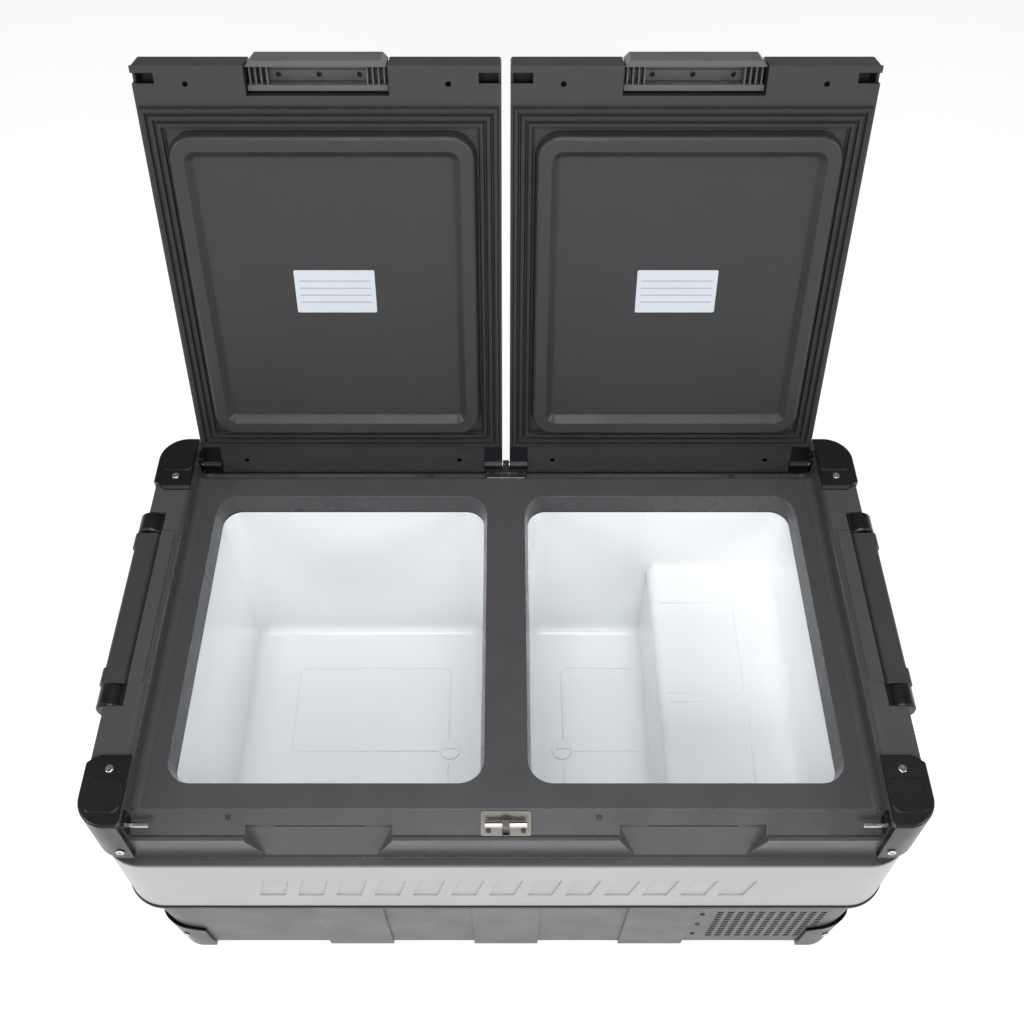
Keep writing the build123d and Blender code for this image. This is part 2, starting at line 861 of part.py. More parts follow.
def corner_screw_planes():
    planes = []
    for end in ends.values():
        for side in sides.values():
            plate = corner_plate_plane(side, end)
            for y in (-corner_screw[0], corner_screw[0]):
                planes.append(moved(plate, y, -side * corner_screw[1], plate_thickness))
    return planes


def centre_screw_planes():
    planes = []
    for end in ends.values():
        slope = slope_plane(end)
        for side in sides.values():
            planes.append(moved(slope, side * centre_screw[0], end * centre_screw[1], plate_thickness))
    return planes


def build_corner_hinge_plates():
    with BuildPart() as plates:
        for side in sides.values():
            for end in ends.values():
                plane = corner_plate_plane(side, end)
                with BuildSketch(plane):
                    RectangleRounded(*corner_plate, 3)
                    with Locations(
                        (-corner_screw[0], -side * corner_screw[1]),
                        (corner_screw[0], -side * corner_screw[1]),
                    ):
                        Circle(plate_screw_hole, mode=Mode.SUBTRACT)
                extrude(amount=plate_thickness)
    return plates.part


def slope_z(y):
    """Height of the slope's surface at a distance from the middle."""
    return well_floor - gutter_drop * (y - ridge_y) / (gutter_y - ridge_y)


def build_centre_hinge_brackets():
    near = hinge_y - centre_post / 2
    far = hinge_y + centre_post / 2
    lift = plate_thickness / 2
    post = [
        (near, slope_z(near) + lift),
        (far, slope_z(far) + lift),
        (far, hinge_z + centre_post_rise),
        (near, hinge_z + centre_post_rise),
    ]
    with BuildPart() as brackets:
        for end in ends.values():
            with BuildSketch(slope_plane(end)):
                RectangleRounded(*centre_plate, 3)
                with Locations(
                    (-centre_screw[0], end * centre_screw[1]),
                    (centre_screw[0], end * centre_screw[1]),
                ):
                    Circle(plate_screw_hole, mode=Mode.SUBTRACT)
            extrude(amount=plate_thickness)
            add(profile_along_x(mirrored_y(post, end), -centre_post / 2, centre_post / 2))
    return brackets.part


def build_hinge_pins():
    with BuildPart() as pins:
        for end in ends.values():
            for side in sides.values():
                outer = side * (well_half_x - plate_thickness)
                inner = side * centre_post / 2
                for start, way, reach in ((outer, -side, pin_reach), (inner, side, centre_pin_reach)):
                    origin = (start, end * hinge_y, hinge_z)
                    with BuildSketch(Plane(origin=origin, z_dir=(way, 0, 0))):
                        Circle(pin_radius)
                    extrude(amount=reach)
    return pins.part


# --- Lids ---
hinge_cover_width = 23.0
hinge_cover_length = 38.0
hinge_cover_thickness = 1.2
notch_width = 11.0
notch_depth = 7.5
lid_wall = 3.0
lid_corner = 3.0
panel_half = (163.5, 189.0)
panel_radius = 25.0
panel_draft = 10.0
panel_border = (15.0, 15.5)
panel_recess = 8.0
recess_radius = 13.0
recess_slope = 45.0
recess_fillet = 3.0
lid_hole = 3.0
lid_hole_in = 55.5  # screw holes, from the lid's sides
lid_hole_out = 6.0  # and past the hinge axis
skin_cut = 8.0


def lid_plane(lift=0.0):
    """The underside of the open lids: Y runs from the hinge to the free edge."""
    turn = radians(open_angle)
    base = Plane(origin=(0, hinge_y, hinge_z), x_dir=(1, 0, 0), z_dir=(0, -sin(turn), -cos(turn)))
    return base.offset(lift)


def lid_box(side, x_size, s0, s1, t0, t1, x_offset=0.0):
    """A box in a lid's own coordinates, centred on the lid or beside its middle."""
    with BuildPart() as box:
        with BuildSketch(lid_plane(t0)):
            with Locations((side * lid_center_x + x_offset, (s0 + s1) / 2)):
                Rectangle(x_size, s1 - s0)
        extrude(amount=t1 - t0)
    return box.part


def lid_cylinder(side, radius, s, t, x_size, x_offset=0.0):
    """A cylinder along X in a lid's own coordinates."""
    centre = lid_plane().from_local_coords((side * lid_center_x + x_offset - x_size / 2, s, t))
    with BuildPart() as rod:
        with BuildSketch(Plane(origin=centre, z_dir=(1, 0, 0))):
            Circle(radius)
        extrude(amount=x_size)
    return rod.part


def lid_end_cuts(side):
    """Room for the knuckles at the hinge and for the pins at the free edge, at both ends."""
    room = knuckle_radius + fit_gap
    reach = (lid_width - hinge_cover_width) / 2
    cuts = []
    for offset in (-reach, reach):
        cuts.append(lid_box(side, hinge_cover_width + 1, -room, room, -room, 1, offset))
        free = 2 * hinge_y
        half = notch_width / 2
        cuts.append(lid_box(side, hinge_cover_width + 1, free - half, free + half, -notch_depth, 1, offset))
    return cuts


latch_start = lid_end - latch_depth
latch_pin_s = lid_end - skin_cut
latch_pin_t = -26.5
latch_barrel = 4.2
latch_rib = 2.5
paddle_plate = 6.5
paddle_fins = (52.5, 58.5, 64.5, 70.5)
fin_thickness = 1.8
paddle_groove = 1.6
paddle_hole = 2.8
paddle_hole_pitch = 43.0
paddle_hole_up = 15.0


def build_lid_shell(side):
    along = Axis((0, 0, 0), lid_plane().z_dir)
    with BuildPart() as shell:
        add(lid_box(side, lid_width, -lid_overhang, lid_end, -lid_thickness, -lid_skin))
        fillet(shell.edges().filter_by(along), lid_corner)
        top = shell.faces().sort_by(along)[0]
        fillet(top.edges(), lid_corner)
        inside = lid_wall
        add(
            lid_box(
                side,
                lid_width - 2 * inside,
                -lid_overhang + inside,
                lid_end - inside,
                -lid_thickness + inside,
                0,
            ),
            mode=Mode.SUBTRACT,
        )
        add(
            lid_box(side, latch_width, latch_start, lid_end + 1, -lid_thickness + inside, 0),
            mode=Mode.SUBTRACT,
        )
        add(
            lid_box(side, latch_width, lid_end - skin_cut, lid_end + 1, -lid_thickness - 1, 0),
            mode=Mode.SUBTRACT,
        )
        for cut in lid_end_cuts(side):
            add(cut, mode=Mode.SUBTRACT)
    return shell.part


def panel_block(side, shrink, bottom, top):
    """The raised panel's outline, shrunk by a wall, between two heights."""
    grow = (panel_height - bottom) * tan(radians(panel_draft)) - shrink
    with BuildPart() as panel:
        with BuildSketch(lid_plane(bottom)):
            with Locations((side * lid_center_x, lid_middle)):
                RectangleRounded(
                    2 * (panel_half[0] + grow), 2 * (panel_half[1] + grow), panel_radius + grow
                )
        extrude(amount=top - bottom, taper=panel_draft)
    return panel.part


def build_lid_liner(side):
    along = Axis((0, 0, 0), lid_plane().z_dir)
    with BuildPart() as liner:
        add(panel_block(side, 0, 0, panel_height))
        rim = liner.faces().sort_by(along)[-1]
        fillet(rim.edges(), 4.0)
        with BuildSketch(lid_plane(panel_height)):
            with Locations((side * lid_center_x, lid_middle)):
                RectangleRounded(
                    2 * (panel_half[0] - panel_border[0]),
                    2 * (panel_half[1] - panel_border[1]),
                    recess_radius,
                )
        extrude(amount=-panel_recess, taper=recess_slope, mode=Mode.SUBTRACT)
        floor = liner.faces().filter_by(along).sort_by(along)[-2]
        fillet(floor.outer_wire().edges(), recess_fillet)
        add(lid_box(side, lid_width, -lid_overhang, lid_end, -lid_skin, 0))
        add(panel_block(side, 3.0, -lid_skin, panel_height - panel_recess - 2.5), mode=Mode.SUBTRACT)
        # the latch pocket: walls, then the pocket itself
        deep = -lid_thickness + lid_wall
        outer = latch_width + 2 * latch_rib
        add(lid_box(side, outer, latch_start - latch_rib, lid_end - lid_wall, deep, 0))
        add(lid_box(side, latch_width, latch_start, lid_end + 1, deep, 1), mode=Mode.SUBTRACT)
        for cut in lid_end_cuts(side):
            add(cut, mode=Mode.SUBTRACT)
        with BuildSketch(lid_plane(-lid_skin)):
            with Locations((side * lid_center_x, lid_middle)):
                with GridLocations(lid_width - 2 * lid_hole_in, 2 * (hinge_y - lid_hole_out), 2, 2):
                    Circle(lid_hole)
        extrude(amount=lid_skin, mode=Mode.SUBTRACT)
        add(
            lid_cylinder(side, latch_pin_radius, latch_pin_s, latch_pin_t, outer + 1),
            mode=Mode.SUBTRACT,
        )
    return liner.part


def build_lid_foam(side):
    depth = -lid_thickness + lid_wall + fit_gap
    edge = lid_wall + fit_gap
    with BuildPart() as foam:
        add(
            lid_box(
                side,
                lid_width - 2 * edge,
                knuckle_radius + 2,
                latch_start - 3.5,
                depth,
                -lid_skin,
            )
        )
    return foam.part


def build_gasket(side):
    half_x = lid_width / 2 - 3.0
    half_s = lid_length / 2 - strip_depth
    with BuildPart() as gasket:
        with BuildSketch(lid_plane()):
            with Locations((side * lid_center_x, lid_middle)):
                Rectangle(2 * half_x, 2 * half_s)
                Rectangle(2 * (half_x - gasket_width), 2 * (half_s - gasket_width), mode=Mode.SUBTRACT)
        extrude(amount=gasket_height - 3.0)
        rib = gasket_width / 3 - 1.5
        for step in range(3):
            out = step * gasket_width / 3
            with BuildSketch(lid_plane(gasket_height - 3.0)):
                with Locations((side * lid_center_x, lid_middle)):
                    Rectangle(2 * (half_x - out), 2 * (half_s - out))
                    Rectangle(2 * (half_x - out - rib), 2 * (half_s - out - rib), mode=Mode.SUBTRACT)
            extrude(amount=3.0, taper=22)
    return gasket.part


def build_hinge_covers(side):
    reach = (lid_width - hinge_cover_width) / 2
    with BuildPart() as covers:
        for offset in (-reach, reach):
            length = hinge_cover_length
            add(
                lid_box(
                    side,
                    hinge_cover_width,
                    -lid_overhang + 1,
                    -lid_overhang + 1 + length,
                    0,
                    hinge_cover_thickness,
                    offset,
                )
            )
            add(lid_cylinder(side, knuckle_radius, 0, 0, hinge_cover_width, offset))
        for offset in (-reach, reach):
            bore = lid_cylinder(side, pin_radius + pin_fit, 0, 0, hinge_cover_width, offset)
            add(bore, mode=Mode.SUBTRACT)
    return covers.part


def build_latch_paddle(side):
    half = latch_width / 2 - paddle_gap
    face = lid_end + paddle_proud
    back = face - paddle_plate
    with BuildPart() as paddle:
        with BuildSketch(lid_plane(-lid_thickness + 0.5)):
            x = side * lid_center_x
            with BuildLine():
                Polyline(
                    (x - half, back),
                    (x - half, face - 6.0),
                    (x - half + 6.0, face),
                    (x + half - 6.0, face),
                    (x + half, face - 6.0),
                    (x + half, back),
                    close=True,
                )
            make_face()
        extrude(amount=lid_thickness - 3.5)
        add(lid_cylinder(side, latch_barrel, latch_pin_s, latch_pin_t, 2 * half))
        add(lid_box(side, 2 * half, latch_start + 3, back + 1, -27.0, -24.0))
        add(lid_box(side, 2 * half, latch_start + 3, latch_start + 9, -24.0, -7.0))
        for x_offset in paddle_fins:
            for way in sides.values():
                add(lid_box(side, fin_thickness, latch_start + 3, back + 1, -24.0, -9.0, way * x_offset))
        add(lid_box(side, 38.0, latch_start + 2, latch_start + 10, -14.0, -10.0), mode=Mode.SUBTRACT)
        # groove behind the front plate, and the screw holes
        groove = lid_box(side, 2 * half, back - paddle_groove, back, -26.0, -20.0)
        add(groove, mode=Mode.SUBTRACT)
        with BuildSketch(lid_plane(-28.0)):
            with Locations((x, latch_start + paddle_hole_up)):
                with GridLocations(paddle_hole_pitch, 1, 3, 1):
                    Circle(paddle_hole)
        extrude(amount=6.0, mode=Mode.SUBTRACT)
        add(
            lid_cylinder(side, latch_pin_radius + pin_fit, latch_pin_s, latch_pin_t, latch_width),
            mode=Mode.SUBTRACT,
        )
    return paddle.part


def build_latch_pin(side):
    length = latch_width + 2 * latch_rib
    return lid_cylinder(side, latch_pin_radius, latch_pin_s, latch_pin_t, length)


# --- Handles, at both ends ---
hub_block = 24.0  # the block that joins a hub to the recess wall
hub_block_drop = 2.0
stub_reach = 12.0


def handle_axis_plane(side, y):
    """Across a handle's hinge axis at one place along it."""
    origin = (side * handle_axis_x, y, handle_axis_z)
    return Plane(origin=origin, x_dir=(side, 0, 0), z_dir=(0, -side, 0))


def handle_end_plane(side, way, out):
    """Square to a handle's hinge axis, beyond one end of the handle, facing away from it."""
    y = handle_y + way * (handle_length / 2 + out)
    return Plane(origin=(side * handle_axis_x, y, handle_axis_z), x_dir=(1, 0, 0), z_dir=(0, way, 0))


def build_handle_hubs():
    reach = handle_axis_x - recess_x
    with BuildPart() as hubs:
        for side in sides.values():
            for way in ends.values():
                with BuildSketch(handle_end_plane(side, way, hub_gap)):
                    Circle(hub_radius)
                extrude(amount=hub_length)
        chamfer(hubs.edges().filter_by(GeomType.CIRCLE), 2.0)
        for side in sides.values():
            for way in ends.values():
                plane = handle_end_plane(side, way, hub_gap)
                with BuildSketch(plane):
                    with Locations((-side * reach / 2, way * hub_block_drop)):
                        Rectangle(reach, hub_block)
                extrude(amount=hub_length)
                with BuildSketch(plane):
                    Circle(stub_radius + pin_fit)
                extrude(amount=stub_reach + hub_gap, mode=Mode.SUBTRACT)
    return hubs.part


grip_radius = 12.0
handle_arm = 20.0
bar_inner = 15.0
bar_outer = 14.0
bar_top = 11.5
bar_corner = 6.4
collar_proud = 2.2
arm_width = 18.0


def build_handle(side):
    half = handle_length / 2
    with BuildPart() as handle:
        with BuildSketch(handle_axis_plane(side, handle_y + side * half)):
            with Locations(((bar_outer - bar_inner) / 2, 0)):
                Rectangle(bar_outer + bar_inner, 2 * bar_top)
        extrude(amount=handle_length)
        fillet(handle.edges().filter_by(Axis.Y), bar_corner)
        for way in (-1, 1):
            middle = handle_axis_plane(side, handle_y + way * (half - handle_arm / 2))
            with BuildSketch(middle):
                with Locations((0, -handle_drop / 2)):
                    Rectangle(arm_width, handle_drop)
            extrude(amount=handle_arm / 2, both=True)
            with BuildSketch(middle):
                with Locations(((bar_outer + collar_proud - bar_inner) / 2, 0)):
                    RectangleRounded(bar_outer + collar_proud + bar_inner, 2 * bar_top, bar_corner)
            extrude(amount=handle_arm / 2, both=True)
        with BuildSketch(handle_axis_plane(side, handle_y)):
            with Locations((0, -handle_drop)):
                Circle(grip_radius)
        extrude(amount=half, both=True)
        with BuildSketch(handle_axis_plane(side, handle_y)):
            Circle(stub_radius)
        extrude(amount=half + 12.0 + hub_gap, both=True)
    return handle.part


# --- Compartments ---
liner_draft = 1.5
liner_flange = 6.0
floor_fillet = 14.0
hump_fillet = 12.0
hump_x = 193.0
drain_head = 14.0
drain_head_height = 3.0
drain_slot = (18.0, 3.0)
cooling_gap = 0.3
cooling_wall = 1.5
cooling_levels = {"left": (150.0, 300.0), "right": (hump_top + 18.0, 340.0)}
foam_half = (412.0, 229.0)
foam_radius = 30.0
foam_step = recess_floor - wall - 1.0  # the foam is narrower above this level
bay_roof = hump_top - 18.0
bay_wall = 4.0
sleeve_inset = opening_depth * tan(radians(opening_slope))


def liner_block(side, grow, bottom, top):
    """One compartment's outline, grown by a wall, between two levels."""
    shift = grow - sleeve_inset - (liner_top - top) * tan(radians(liner_draft))
    return rounded_block(
        opening_width + 2 * shift,
        2 * (opening_half_y + shift),
        opening_radius + shift,
        bottom,
        top,
        liner_draft,
        (side * opening_center_x, 0),
    )


def pocket_block(side, grow):
    """The inside of one compartment, grown by a wall. The right one steps up over the compressor."""
    floor_z = liner_floor - grow
    step_z = hump_top - grow
    with BuildPart() as pocket:
        add(liner_block(side, grow, floor_z, liner_top))
        if side > 0:
            step = plain_block(hump_x + grow, body_length, -body_depth, body_depth, 0, step_z)
            add(step, mode=Mode.SUBTRACT)
            level = pocket.faces().filter_by(Axis.Z).filter_by_position(Axis.Z, step_z - 1, step_z + 1)
            fillet(level.edges(), hump_fillet + grow)
        fillet(pocket.faces().sort_by(Axis.Z)[0].edges(), floor_fillet + grow)
    return pocket.part


def build_liner(side):
    with BuildPart() as liner:
        add(pocket_block(side, thin_wall))
        add(liner_block(side, liner_flange, liner_top - thin_wall, liner_top))
        add(pocket_block(side, 0), mode=Mode.SUBTRACT)
        with BuildSketch(Plane.XY.offset(liner_floor + 1)):
            with Locations((side * drain_x, drain_y)):
                Circle(drain_radius + pin_fit)
        extrude(amount=-2 * thin_wall - 1, mode=Mode.SUBTRACT)
    return liner.part


def build_liner_seals():
    with BuildPart() as seals:
        for side in sides.values():
            add(liner_block(side, wall, liner_top, sleeve_bottom))
            add(liner_block(side, 0, liner_top, sleeve_bottom), mode=Mode.SUBTRACT)
    return seals.part


def build_drain_plug(side):
    with BuildPart() as plug:
        with BuildSketch(Plane.XY.offset(liner_floor)):
            with Locations((side * drain_x, drain_y)):
                Circle(drain_head)
        extrude(amount=drain_head_height)
        chamfer(plug.faces().sort_by(Axis.Z)[-1].edges(), 1.0)
        with BuildSketch(Plane.XY.offset(liner_floor)):
            with Locations((side * drain_x, drain_y)):
                Circle(drain_radius)
        extrude(amount=-3 * thin_wall)
        with BuildSketch(Plane.XY.offset(liner_floor + drain_head_height)):
            with Locations((side * drain_x, drain_y)):
                Rectangle(*drain_slot)
        extrude(amount=-drain_head_height / 2, mode=Mode.SUBTRACT)
    return plug.part


def build_drain_tubes():
    with BuildPart() as tubes:
        with BuildSketch(Plane.XY.offset(base_bottom)):
            with Locations((-drain_x, drain_y), (drain_x, drain_y)):
                Circle(drain_radius + drain_tube_wall)
                Circle(drain_radius + fit_gap, mode=Mode.SUBTRACT)
        extrude(amount=liner_floor - thin_wall - base_bottom)
    return tubes.part


def build_cooling_plates():
    near = thin_wall + cooling_gap
    with BuildPart() as plates:
        for name, side in sides.items():
            low, high = cooling_levels[name]
            add(liner_block(side, near + cooling_wall, low, high))
            add(liner_block(side, near, low, high), mode=Mode.SUBTRACT)
    return plates.part


def build_foam_core():
    clear = thin_wall + 2 * cooling_gap + cooling_wall
    top = liner_top - thin_wall
    floor_z = base_bottom + wall
    with BuildPart() as foam:
        add(rounded_block(2 * foam_half[0], 2 * foam_half[1], foam_radius, floor_z, foam_step))
        narrow = 2 * (ridge_y - fit_gap)
        add(rounded_block(2 * foam_half[0], narrow, foam_radius, foam_step, top))
        for side in sides.values():
            add(pocket_block(side, clear), mode=Mode.SUBTRACT)
        bay = plain_block(hump_x + bay_wall, body_length, -body_depth, body_depth, 0, bay_roof)
        add(bay, mode=Mode.SUBTRACT)
        with BuildSketch(Plane.XY.offset(floor_z)):
            with Locations((-drain_x, drain_y), (drain_x, drain_y)):
                Circle(drain_radius + drain_tube_wall + fit_gap)
        extrude(amount=liner_floor - floor_z, mode=Mode.SUBTRACT)
    return foam.part


# --- Cooling unit, in the bay under the right-hand compartment's step ---
bay_floor = base_bottom + wall
compressor_at = (290.0, 60.0)
compressor_size = (120.0, 95.0)
compressor_height = 124.0
mount_height = 10.0
mount_radius = 9.0
mount_spread = (92.0, 66.0)
condenser_x = (240.0, 372.0)
condenser_y = (-212.0, -188.0)
condenser_height = 110.0
condenser_fins = 15
tube_radius = 3.0
fan_x = 385.0
fan_depth = 25.0
fan_bore = 56.0
fan_hub = 20.0
fan_shaft = 3.0
fan_blades = 7
board_size = (110.0, 2.0, 80.0)
board_at = (285.0, 190.0)


def build_compressor():
    x, y = compressor_at
    low = bay_floor + mount_height
    with BuildPart() as compressor:
        with BuildSketch(Plane.XY.offset(low + 2.5)):
            with Locations((x, y)):
                Ellipse(compressor_size[0] / 2, compressor_size[1] / 2)
        extrude(amount=compressor_height - 2.5)
        fillet(compressor.faces().sort_by(Axis.Z)[-1].edges(), 22.0)
        with BuildSketch(Plane.XY.offset(low + 68)):
            with Locations((x, y)):
                Ellipse(compressor_size[0] / 2 + 3, compressor_size[1] / 2 + 3)
        extrude(amount=3.0)
        with BuildSketch(Plane.XY.offset(low)):
            with Locations((x, y)):
                RectangleRounded(mount_spread[0] + 24, mount_spread[1] + 24, 10)
        extrude(amount=2.5)
    return compressor.part


def build_compressor_mounts():
    with BuildPart() as mounts:
        with BuildSketch(Plane.XY.offset(bay_floor)):
            with Locations(compressor_at):
                with GridLocations(*mount_spread, 2, 2):
                    Circle(mount_radius)
        extrude(amount=mount_height)
    return mounts.part


def build_condenser():
    x0, x1 = condenser_x
    y0, y1 = condenser_y
    top = bay_floor + condenser_height
    pitch = (x1 - x0 - 2) / (condenser_fins - 1)
    with BuildPart() as condenser:
        for step in range(condenser_fins):
            x = x0 + step * pitch
            add(plain_block(x, x + 2, y0, y1, bay_floor, top))
        rows = [bay_floor + condenser_height * (step + 0.5) / 4 for step in range(4)]
        with BuildSketch(Plane.YZ.offset(x0)):
            with Locations(*[((y0 + y1) / 2, z) for z in rows]):
                Circle(tube_radius)
        extrude(amount=x1 - x0)
        add(plain_block(x0, x1, y0 + 4, y1 - 4, top - 2, top))
    return condenser.part


def build_fan_frame():
    with BuildPart() as frame:
        with BuildSketch(Plane.YZ.offset(fan_x)):
            with Locations((fan_y, fan_z)):
                RectangleRounded(fan_size, fan_size, 4)
                Circle(fan_bore, mode=Mode.SUBTRACT)
        extrude(amount=fan_depth)
        with BuildSketch(Plane.YZ.offset(fan_x)):
            with Locations((fan_y, fan_z)):
                Circle(fan_hub)
                Rectangle(2 * fan_bore + 2, 5)
                Rectangle(5, 2 * fan_bore + 2)
        extrude(amount=5.0)
        with BuildSketch(Plane.YZ.offset(fan_x)):
            with Locations((fan_y, fan_z)):
                Circle(fan_shaft)
        extrude(amount=fan_depth - 3)
    return frame.part


def build_fan_rotor():
    with BuildPart() as rotor:
        with BuildSketch(Plane.YZ.offset(fan_x + 5.5)):
            with Locations((fan_y, fan_z)):
                Circle(fan_hub)
        extrude(amount=fan_depth - 7)
        for step in range(fan_blades):
            turn = 360 * step / fan_blades
            middle = Plane(origin=(fan_x + 14.0, fan_y, fan_z), x_dir=(1, 0, 0), z_dir=(0, 0, 1))
            blade = middle.rotated((turn, 0, 0))
            with BuildSketch(blade.offset(fan_hub - 2)):
                Rectangle(2.0, 26.0, rotation=35)
            extrude(amount=fan_bore - fan_hub)
        with BuildSketch(Plane.YZ.offset(fan_x)):
            with Locations((fan_y, fan_z)):
                Circle(fan_shaft + pin_fit)
        extrude(amount=fan_depth + 5, mode=Mode.SUBTRACT)
    return rotor.part


def build_control_board():
    x, y = board_at
    width, thick, height = board_size
    with BuildPart() as board:
        add(plain_block(x - width / 2, x + width / 2, y, y + thick, bay_floor, bay_floor + height))
        add(plain_block(x - 40, x - 12, y - 18, y, bay_floor + 30, bay_floor + 62))
        with BuildSketch(Plane.XZ.offset(-y)):
            with Locations((x + 8, bay_floor + 40), (x + 30, bay_floor + 40), (x + 19, bay_floor + 62)):
                Circle(8)
        extrude(amount=22)
    return board.part


def build_refrigerant_lines():
    x, y = compressor_at
    top = bay_floor + mount_height + compressor_height
    fan_in = (condenser_y[0] + condenser_y[1]) / 2
    low = bay_floor + condenser_height
    with BuildPart() as lines:
        with BuildLine() as route:
            FilletPolyline(
                (x, y - 10, top), (x, y - 10, top + 35), (x, fan_in, top + 35), (x, fan_in, low), radius=14
            )
        with BuildSketch(Plane(origin=route.line @ 0, z_dir=route.line % 0)):
            Circle(tube_radius)
        sweep(path=route.line)
        for place in ((x + 14, y + 10, top), (x - 30, fan_in, low)):
            with BuildSketch(Plane(origin=place)):
                Circle(tube_radius)
            extrude(amount=bay_roof - place[2])
    return lines.part


# --- Small screws of the top frame and the grilles ---
small_screw_x = 293.0
small_screw_near = 98.0
small_screw_up = 6.0  # from the slope's middle towards the ridge
flat_head = 0.9  # leaves 0.5 mm beside a lid's end


def frame_screw_planes():
    planes = []
    for end in ends.values():
        for x in (end * small_screw_x, -end * small_screw_near):
            planes.append(moved(slope_plane(end), x, -end * small_screw_up))
    return planes


def build_small_screws():
    """The hinge plates' flat screws, low enough for a lid to pass, and the other small ones."""
    planes = centre_screw_planes() + frame_screw_planes() + vent_screw_planes() + end_screw_planes()
    with BuildPart() as screws:
        add(screw_group(planes, 2.9, 1.5, plate_screw_shank, plate_screw_length))
        add(screw_group(corner_screw_planes(), 2.9, flat_head, plate_screw_shank, plate_screw_length))
    return screws.part


def main():
    save(build_base_shell(), "base_shell")
    save(build_vent_grille_front(), "vent_grille_front")
    save(build_vent_grille_end(), "vent_grille_end")
    save(build_lower_trim(), "lower_trim")
    save(build_side_band(), "side_band")
    save(build_control_bezel(), "control_bezel")
    save(build_display_window(), "display_window")
    for name, place in zip(button_names, button_places()):
        save(build_button(place), f"button_{name}")
    save(build_power_socket_dc(), "power_socket_dc")
    save(build_ac_inlet(), "ac_inlet")
    save(build_top_frame(), "top_frame")
    for end_name, end in ends.items():
        for side_name, side in sides.items():
            save(build_corner_guard(side, end), f"corner_guard_{end_name}_{side_name}")
            save(build_foot_guard(side, end), f"foot_guard_{end_name}_{side_name}")
    save(build_rubber_feet(), "rubber_feet")
    save(build_corner_hinge_plates(), "corner_hinge_plates")
    save(build_centre_hinge_brackets(), "centre_hinge_brackets")
    save(build_hinge_pins(), "hinge_pins")
    save(build_handle_hubs(), "handle_hubs")
    for name, side in sides.items():
        save(build_lid_shell(side), f"lid_shell_{name}")
        save(build_lid_liner(side), f"lid_liner_{name}")
        save(build_lid_foam(side), f"lid_foam_{name}")
        save(build_gasket(side), f"gasket_{name}")
        save(build_hinge_covers(side), f"hinge_covers_{name}")
        save(build_latch_paddle(side), f"latch_paddle_{name}")
        save(build_latch_pin(side), f"latch_pin_{name}")
        save(build_handle(side), f"handle_{name}")
        save(build_liner(side), f"liner_{name}")
        save(build_drain_plug(side), f"drain_plug_{name}")
    save(build_liner_seals(), "liner_seals")
    save(build_drain_tubes(), "drain_tubes")
    save(build_cooling_plates(), "cooling_plates")
    save(build_foam_core(), "foam_core")
    save(build_compressor(), "compressor")
    save(build_compressor_mounts(), "compressor_mounts")
    save(build_condenser(), "condenser")
    save(build_fan_frame(), "fan_frame")
    save(build_fan_rotor(), "fan_rotor")
    save(build_control_board(), "control_board")
    save(build_refrigerant_lines(), "refrigerant_lines")
    save(screw_group(guard_screw_planes(), 4.6, 2.2, screw_shank, screw_length), "guard_screws")
    save(build_small_screws(), "small_screws")


main()
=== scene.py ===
import json
import math
import bpy
import bmesh
from mathutils import Matrix, Vector


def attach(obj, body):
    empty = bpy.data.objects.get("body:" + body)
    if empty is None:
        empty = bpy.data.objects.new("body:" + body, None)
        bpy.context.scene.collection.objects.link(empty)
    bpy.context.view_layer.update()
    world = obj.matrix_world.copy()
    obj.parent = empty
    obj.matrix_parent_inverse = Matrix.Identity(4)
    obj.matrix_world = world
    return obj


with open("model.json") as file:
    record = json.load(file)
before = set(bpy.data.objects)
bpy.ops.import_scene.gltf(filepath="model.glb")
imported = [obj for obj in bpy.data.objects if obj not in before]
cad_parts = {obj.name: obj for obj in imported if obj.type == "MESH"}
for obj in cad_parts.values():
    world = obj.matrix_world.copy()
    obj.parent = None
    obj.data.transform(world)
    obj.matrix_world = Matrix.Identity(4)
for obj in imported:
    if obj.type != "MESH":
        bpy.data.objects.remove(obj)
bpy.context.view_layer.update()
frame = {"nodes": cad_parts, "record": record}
scene = bpy.context.scene
mm = 0.001
print("frame loaded:", len(frame["nodes"]), "nodes")


# colours and nodes

def linearColour(hexValue, alpha=1.0):
    # an sRGB hex value as the linear colour that shaders take
    parts = [int(hexValue[i:i + 2], 16) / 255 for i in (1, 3, 5)]
    linear = [c / 12.92 if c <= 0.04045 else ((c + 0.055) / 1.055) ** 2.4 for c in parts]
    return (*linear, alpha)


def addNode(material, kind, links=None, **settings):
    # adds one node: settings are its own properties or its inputs' values, links go into its inputs
    tree = material.node_tree
    node = tree.nodes.new(kind)
    for name, value in settings.items():
        if hasattr(node, name):
            setattr(node, name, value)
        else:
            node.inputs[name.replace("_", " ")].default_value = value
    for name, source in (links or {}).items():
        target = node.inputs[name] if isinstance(name, (str, int)) else name
        tree.links.new(source, target)
    return node


def newMaterial(name, hexValue, roughness, metallic=0.0, **settings):
    # a material with one Principled shader, ready for its pattern
    material = bpy.data.materials.new(name)
    material.use_nodes = True
    shader = material.node_tree.nodes["Principled BSDF"]
    shader.inputs["Base Color"].default_value = linearColour(hexValue)
    shader.inputs["Roughness"].default_value = roughness
    shader.inputs["Metallic"].default_value = metallic
    for socket, value in settings.items():
        shader.inputs[socket.replace("_", " ")].default_value = value
    return material, shader


def grainScale(grainMm):
    # a noise scale that gives grains of a real size, on Object coordinates in metres
    return 1.0 / (grainMm * mm)


